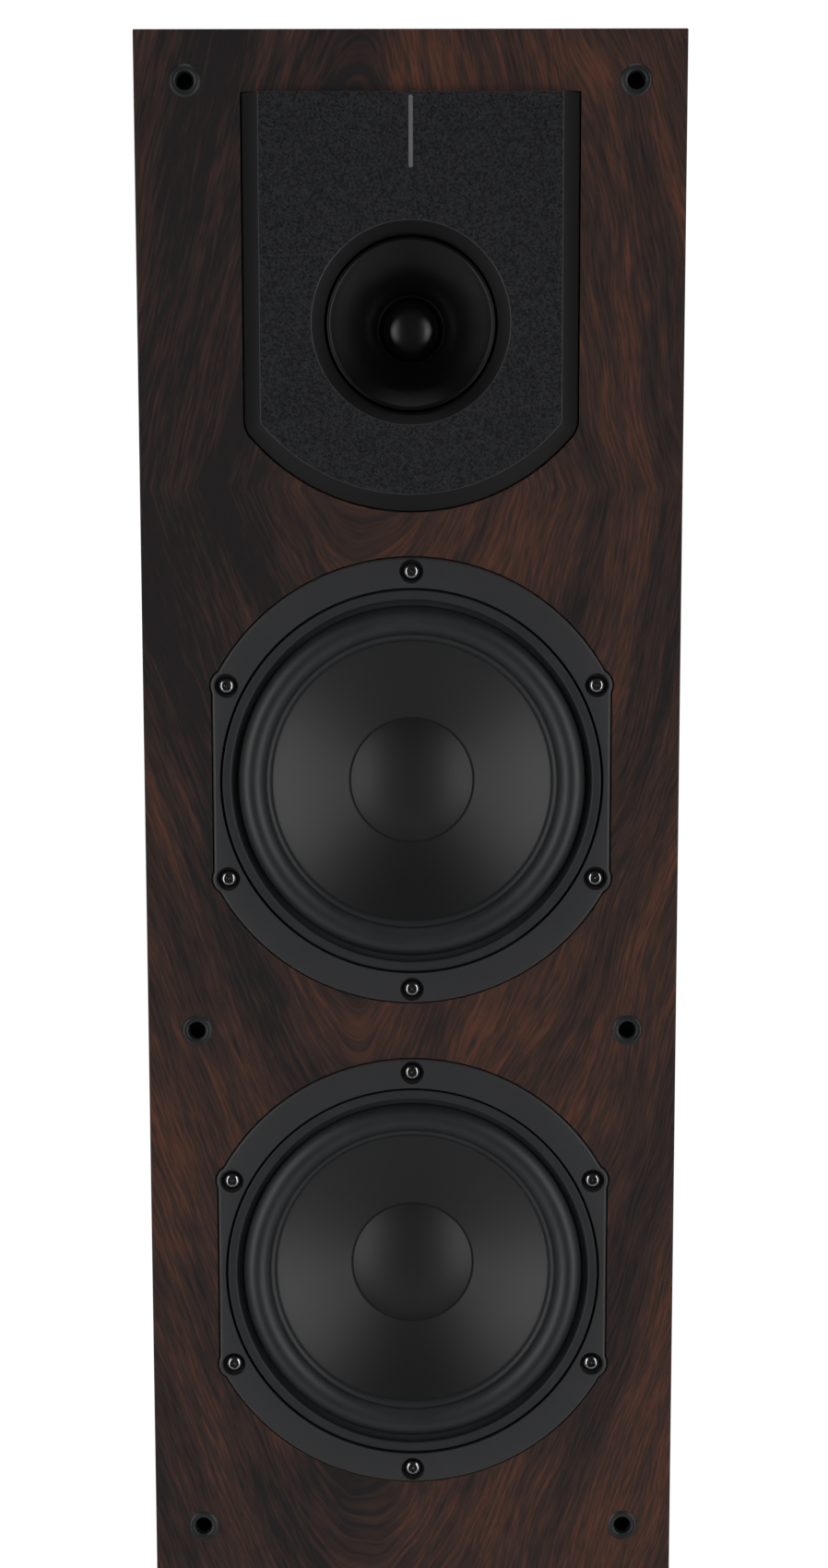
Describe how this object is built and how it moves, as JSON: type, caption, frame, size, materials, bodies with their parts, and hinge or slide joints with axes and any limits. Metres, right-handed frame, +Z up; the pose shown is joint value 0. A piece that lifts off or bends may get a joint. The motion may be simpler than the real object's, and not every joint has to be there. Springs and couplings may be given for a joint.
{
  "type": "floorstanding speaker",
  "caption": "Slim floorstanding loudspeaker: box with horn-loaded dome tweeter, cone woofers, rear port, binding posts, plinth and levelling feet.",
  "frame": {"origin": "on the floor under the middle of the plinth", "axes": "+Z up, -Y towards the listener (the baffle's front), +X to the listener's right"},
  "size_m": [0.25, 0.33, 1.008],
  "materials": {
    "wood_wrap": "dark figured walnut wrap, satin",
    "rear_black": "black painted fibreboard",
    "fibreboard": "raw fibreboard",
    "wadding": "needled polyester wadding",
    "socket_plastic": "moulded black plastic",
    "plate_metal": "textured black coating",
    "horn_plastic": "satin black",
    "dome_fabric": "coated woven dome",
    "roll_rubber": "smooth black rubber",
    "trim_rubber": "matt black rubber",
    "cone_paper": "satin black coated cone",
    "cap_coating": "satin black coated cap",
    "basket_metal": "die-cast, fine matt black paint",
    "coil_copper": "enamelled winding",
    "spider_cloth": "impregnated cloth",
    "magnet_ferrite": "ferrite",
    "motor_steel": "zinc plated steel",
    "gasket_foam": "closed-cell foam",
    "screw_black": "black nickel",
    "terminal_plastic": "moulded black plastic",
    "board_green": "printed board",
    "capacitor_film": "yellow film",
    "resistor_ceramic": "white ceramic",
    "wire_jacket": "soft black jacket",
    "port_plastic": "moulded black plastic",
    "cup_plastic": "moulded black plastic",
    "post_gold": "gold plated",
    "knob_red": "red insulated",
    "knob_black": "black insulated",
    "plinth_paint": "satin black lacquer",
    "foot_steel": "dark plated steel",
    "foot_rubber": "black rubber"
  },
  "bodies": {
    "cabinet": {"front_baffle": "wood_wrap", "left_side_panel": "wood_wrap", "right_side_panel": "wood_wrap", "top_panel": "wood_wrap", "bottom_panel": "fibreboard", "rear_panel": "rear_black", "window_braces": "fibreboard", "damping_lining": "wadding", "grille_sockets": "socket_plastic", "waveguide_plate": "plate_metal", "waveguide_horn": "horn_plastic", "tweeter_surround": "roll_rubber", "tweeter_pole_plate": "motor_steel", "tweeter_magnet": "magnet_ferrite", "tweeter_yoke": "motor_steel", "tweeter_rear_chamber": "terminal_plastic", "woofer_trim_rings": "trim_rubber", "woofer_magnets": "magnet_ferrite", "woofer_yokes": "motor_steel", "woofer_top_plates": "motor_steel", "woofer_gaskets": "gasket_foam", "woofer_screws": "screw_black", "woofer_terminals": "terminal_plastic", "crossover_board": "board_green", "crossover_inductors": "coil_copper", "crossover_capacitors": "capacitor_film", "crossover_resistors": "resistor_ceramic", "panel_screws": "screw_black", "internal_wires": "wire_jacket", "terminal_cup": "cup_plastic", "binding_posts": "post_gold", "reflex_port": "port_plastic", "plinth": "plinth_paint", "plinth_screws": "screw_black", "upper_basket": "basket_metal", "upper_surround": "roll_rubber", "upper_spider": "spider_cloth", "lower_basket": "basket_metal", "lower_surround": "roll_rubber", "lower_spider": "spider_cloth"},
    "upper_diaphragm": {"upper_cone": "cone_paper", "upper_dust_cap": "cap_coating", "upper_voice_coil": "coil_copper"},
    "lower_diaphragm": {"lower_cone": "cone_paper", "lower_dust_cap": "cap_coating", "lower_voice_coil": "coil_copper"},
    "tweeter_diaphragm": {"tweeter_dome": "dome_fabric", "tweeter_voice_coil": "coil_copper"},
    "red_washer": {"red_clamp_washer": "post_gold"},
    "red_post_knob": {"red_knob": "knob_red"},
    "black_washer": {"black_clamp_washer": "post_gold"},
    "black_post_knob": {"black_knob": "knob_black"},
    "front_left_pad": {"front_left_foot_pad": "foot_rubber"},
    "front_left_stud": {"front_left_foot_stud": "foot_steel"},
    "front_right_pad": {"front_right_foot_pad": "foot_rubber"},
    "front_right_stud": {"front_right_foot_stud": "foot_steel"},
    "rear_left_pad": {"rear_left_foot_pad": "foot_rubber"},
    "rear_left_stud": {"rear_left_foot_stud": "foot_steel"},
    "rear_right_pad": {"rear_right_foot_pad": "foot_rubber"},
    "rear_right_stud": {"rear_right_foot_stud": "foot_steel"}
  },
  "joints": [
    {"name": "upper_woofer_stroke", "type": "slide", "parent": "cabinet", "child": "upper_diaphragm", "axis": [0, -1, 0], "range_m": [-0.005, 0.005], "stiffness_N_per_m": 1000, "deforming": ["upper_surround", "upper_spider"]},
    {"name": "lower_woofer_stroke", "type": "slide", "parent": "cabinet", "child": "lower_diaphragm", "axis": [0, -1, 0], "range_m": [-0.005, 0.005], "stiffness_N_per_m": 1000, "deforming": ["lower_surround", "lower_spider"]},
    {"name": "tweeter_stroke", "type": "slide", "parent": "cabinet", "child": "tweeter_diaphragm", "axis": [0, -1, 0], "range_m": [-0.0004, 0.0004], "stiffness_N_per_m": 800, "deforming": ["tweeter_surround"]},
    {"name": "red_washer_slide", "type": "slide", "parent": "cabinet", "child": "red_washer", "axis": [0, 1, 0], "range_m": [0, 0.005]},
    {"name": "red_knob_turn", "type": "hinge", "parent": "red_washer", "child": "red_post_knob", "pos_m": [0.019, 0.145, 0.16], "axis": [0, 1, 0], "range_deg": [0, 1430]},
    {"name": "black_washer_slide", "type": "slide", "parent": "cabinet", "child": "black_washer", "axis": [0, 1, 0], "range_m": [0, 0.005]},
    {"name": "black_knob_turn", "type": "hinge", "parent": "black_washer", "child": "black_post_knob", "pos_m": [-0.019, 0.145, 0.16], "axis": [0, 1, 0], "range_deg": [0, 1430]},
    {"name": "front_left_foot_drop", "type": "slide", "parent": "cabinet", "child": "front_left_pad", "axis": [0, 0, -1], "range_m": [0, 0.01]},
    {"name": "front_left_foot_turn", "type": "hinge", "parent": "front_left_pad", "child": "front_left_stud", "pos_m": [-0.104, -0.144, 0.02], "axis": [0, 0, -1], "range_deg": [0, 2870]},
    {"name": "front_right_foot_drop", "type": "slide", "parent": "cabinet", "child": "front_right_pad", "axis": [0, 0, -1], "range_m": [0, 0.01]},
    {"name": "front_right_foot_turn", "type": "hinge", "parent": "front_right_pad", "child": "front_right_stud", "pos_m": [0.104, -0.144, 0.02], "axis": [0, 0, -1], "range_deg": [0, 2870]},
    {"name": "rear_left_foot_drop", "type": "slide", "parent": "cabinet", "child": "rear_left_pad", "axis": [0, 0, -1], "range_m": [0, 0.01]},
    {"name": "rear_left_foot_turn", "type": "hinge", "parent": "rear_left_pad", "child": "rear_left_stud", "pos_m": [-0.104, 0.144, 0.02], "axis": [0, 0, -1], "range_deg": [0, 2870]},
    {"name": "rear_right_foot_drop", "type": "slide", "parent": "cabinet", "child": "rear_right_pad", "axis": [0, 0, -1], "range_m": [0, 0.01]},
    {"name": "rear_right_foot_turn", "type": "hinge", "parent": "rear_right_pad", "child": "rear_right_stud", "pos_m": [0.104, 0.144, 0.02], "axis": [0, 0, -1], "range_deg": [0, 2870]}
  ],
  "couplings": [
    {"joint": "red_washer_slide", "follows": "red_knob_turn", "m_per_rad": 0.00019894},
    {"joint": "black_washer_slide", "follows": "black_knob_turn", "m_per_rad": 0.00019894},
    {"joint": "front_left_foot_drop", "follows": "front_left_foot_turn", "m_per_rad": 0.00019894},
    {"joint": "front_right_foot_drop", "follows": "front_right_foot_turn", "m_per_rad": 0.00019894},
    {"joint": "rear_left_foot_drop", "follows": "rear_left_foot_turn", "m_per_rad": 0.00019894},
    {"joint": "rear_right_foot_drop", "follows": "rear_right_foot_turn", "m_per_rad": 0.00019894}
  ]
}
